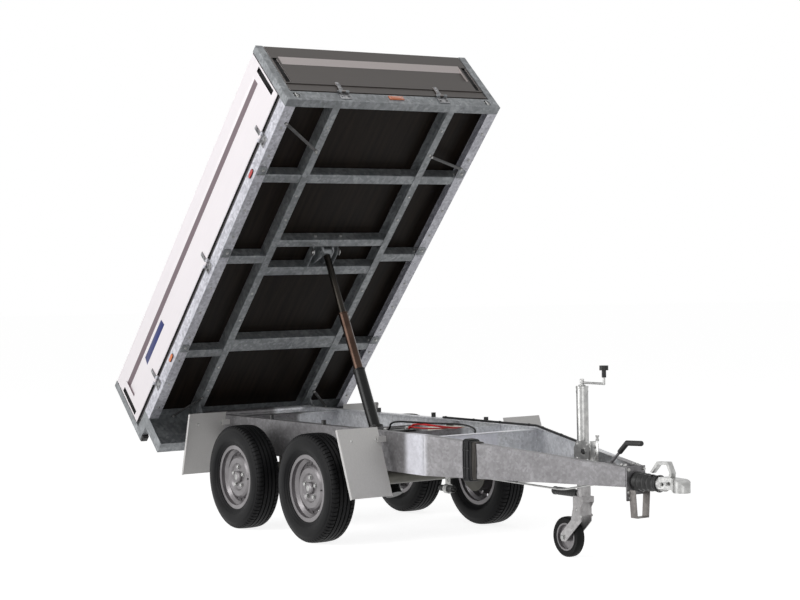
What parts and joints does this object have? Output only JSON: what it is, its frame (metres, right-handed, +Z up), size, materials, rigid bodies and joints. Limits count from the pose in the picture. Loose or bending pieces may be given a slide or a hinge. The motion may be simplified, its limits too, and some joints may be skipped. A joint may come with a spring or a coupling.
{
  "type": "rear tipper trailer",
  "caption": "Tandem-axle trailer whose drop-side bed tips to the rear on a telescopic ram, with a jockey wheel and a ball coupling.",
  "frame": {"origin": "on the ground, in the middle of the overall length with the bed raised, on the trailer's middle plane", "axes": "+X forward to the coupling, +Y to the trailer's left, +Z up"},
  "size_m": [4.4964, 1.457, 2.7161],
  "materials": {
    "galvanised": "spangled hot-dip zinc",
    "zinc": "bright zinc plate",
    "board_aluminium": "satin anodised",
    "mudguard_aluminium": "satin sheet",
    "tyre": "moulded rubber",
    "rim_silver": "silver paint",
    "black_rubber": "matt",
    "ply": "film-faced ply",
    "ram_black": "satin black paint",
    "ram_chrome": "ground and plated",
    "black_plastic": "matt",
    "orange_lens": "clear over orange",
    "red_lens": "clear over red",
    "axle_dark": "dark zinc",
    "jockey_rubber": "solid rubber",
    "tank_cream": "moulded tank"
  },
  "bodies": {
    "chassis": {"axles": "axle_dark", "battery": "black_plastic", "bellows": "black_rubber", "brake_rod": "zinc", "chassis_beams": "galvanised", "chassis_cross_members": "galvanised", "coupling_foot": "zinc", "coupling_head": "zinc", "drawbar_head": "galvanised", "handbrake_grip": "black_plastic", "jockey_crank": "zinc", "jockey_tube": "zinc", "mudguards": "mudguard_aluminium", "power_pack": "ram_black", "power_pack_tray": "galvanised", "ram_cradle": "galvanised", "rubber_buffers": "black_rubber", "oil_tank": "tank_cream", "cable_winding": "black_rubber", "cable_loom": "black_rubber", "trailer_plug": "black_plastic", "plug_holder": "zinc", "jockey_knob": "black_plastic"},
    "bed": {"bed_cross_members": "galvanised", "bed_end_beams": "galvanised", "bed_floor": "ply", "bed_long_beams": "galvanised", "bed_rails": "board_aluminium", "corner_posts": "galvanised", "side_markers": "orange_lens", "rear_lamps": "red_lens", "ram_bracket": "galvanised"},
    "right_board": {"right_board": "board_aluminium"},
    "left_board": {"left_board": "board_aluminium"},
    "front_board": {"front_board": "board_aluminium"},
    "tailgate": {"tailgate": "board_aluminium"},
    "ram_barrel": {"ram_barrel": "ram_black"},
    "ram_stage_1": {"ram_stage_1": "ram_black"},
    "ram_stage_2": {"ram_stage_2": "ram_chrome"},
    "ram_rod": {"ram_rod": "ram_chrome"},
    "jockey_fork": {"jockey_fork": "zinc", "jockey_grip": "black_plastic"},
    "jockey_wheel": {"jockey_tyre": "jockey_rubber", "jockey_rim": "rim_silver"},
    "wheel_front_right": {"wheel_front_right_tyre": "tyre", "wheel_front_right_rim": "rim_silver"},
    "wheel_front_left": {"wheel_front_left_tyre": "tyre", "wheel_front_left_rim": "rim_silver"},
    "wheel_rear_right": {"wheel_rear_right_tyre": "tyre", "wheel_rear_right_rim": "rim_silver"},
    "wheel_rear_left": {"wheel_rear_left_tyre": "tyre", "wheel_rear_left_rim": "rim_silver"}
  },
  "joints": [
    {"name": "wheel_front_right_spin", "type": "hinge", "parent": "chassis", "child": "wheel_front_right", "pos_m": [-0.07727, -0.569, 0.297], "axis": [0, 1, 0], "continuous": true},
    {"name": "wheel_front_left_spin", "type": "hinge", "parent": "chassis", "child": "wheel_front_left", "pos_m": [-0.07727, 0.569, 0.297], "axis": [0, 1, 0], "continuous": true},
    {"name": "wheel_rear_right_spin", "type": "hinge", "parent": "chassis", "child": "wheel_rear_right", "pos_m": [-0.86827, -0.569, 0.297], "axis": [0, 1, 0], "continuous": true},
    {"name": "wheel_rear_left_spin", "type": "hinge", "parent": "chassis", "child": "wheel_rear_left", "pos_m": [-0.86827, 0.569, 0.297], "axis": [0, 1, 0], "continuous": true},
    {"name": "bed_tip", "type": "hinge", "parent": "chassis", "child": "bed", "pos_m": [-1.70477, 0, 0.595], "axis": [0, 1, 0], "range_deg": [0, 46.26]},
    {"name": "ram_swing", "type": "hinge", "parent": "chassis", "child": "ram_barrel", "pos_m": [-0.31477, 0, 0.5], "axis": [0, 1, 0], "range_deg": [0, 15.6]},
    {"name": "ram_stage_1_slide", "type": "slide", "parent": "ram_barrel", "child": "ram_stage_1", "axis": [-0.4393, 0, 0.8983], "range_m": [-0.3495, 0]},
    {"name": "ram_stage_2_slide", "type": "slide", "parent": "ram_stage_1", "child": "ram_stage_2", "axis": [-0.4393, 0, 0.8983], "range_m": [-0.3495, 0]},
    {"name": "ram_rod_slide", "type": "slide", "parent": "ram_stage_2", "child": "ram_rod", "axis": [-0.4393, 0, 0.8983], "range_m": [-0.3495, 0]},
    {"name": "right_board_drop", "type": "hinge", "parent": "bed", "child": "right_board", "pos_m": [-0.99661, -0.7205, 1.52871], "axis": [0.6914, 0, 0.7224], "range_deg": [0, 180]},
    {"name": "left_board_drop", "type": "hinge", "parent": "bed", "child": "left_board", "pos_m": [-0.99661, 0.7205, 1.52871], "axis": [-0.6914, 0, -0.7224], "range_deg": [0, 180]},
    {"name": "front_board_drop", "type": "hinge", "parent": "bed", "child": "front_board", "pos_m": [-0.10164, 0, 2.45223], "axis": [0, 1, 0], "range_deg": [0, 90]},
    {"name": "tailgate_swing", "type": "hinge", "parent": "bed", "child": "tailgate", "pos_m": [-2.22667, 0, 0.77572], "axis": [0, 1, 0], "range_deg": [0, 90]},
    {"name": "jockey_swivel", "type": "hinge", "parent": "chassis", "child": "jockey_fork", "pos_m": [1.36323, 0.115, 0.385], "axis": [0, 0, 1], "continuous": true},
    {"name": "jockey_wheel_spin", "type": "hinge", "parent": "jockey_fork", "child": "jockey_wheel", "pos_m": [1.23723, 0.115, 0.1025], "axis": [0, 1, 0], "continuous": true}
  ],
  "couplings": [
    {"joint": "ram_swing", "follows": "bed_tip", "ratio": 0.3364},
    {"joint": "ram_stage_1_slide", "follows": "bed_tip", "m_per_rad": -0.43229},
    {"joint": "ram_stage_2_slide", "follows": "bed_tip", "m_per_rad": -0.43229},
    {"joint": "ram_rod_slide", "follows": "bed_tip", "m_per_rad": -0.43229}
  ]
}
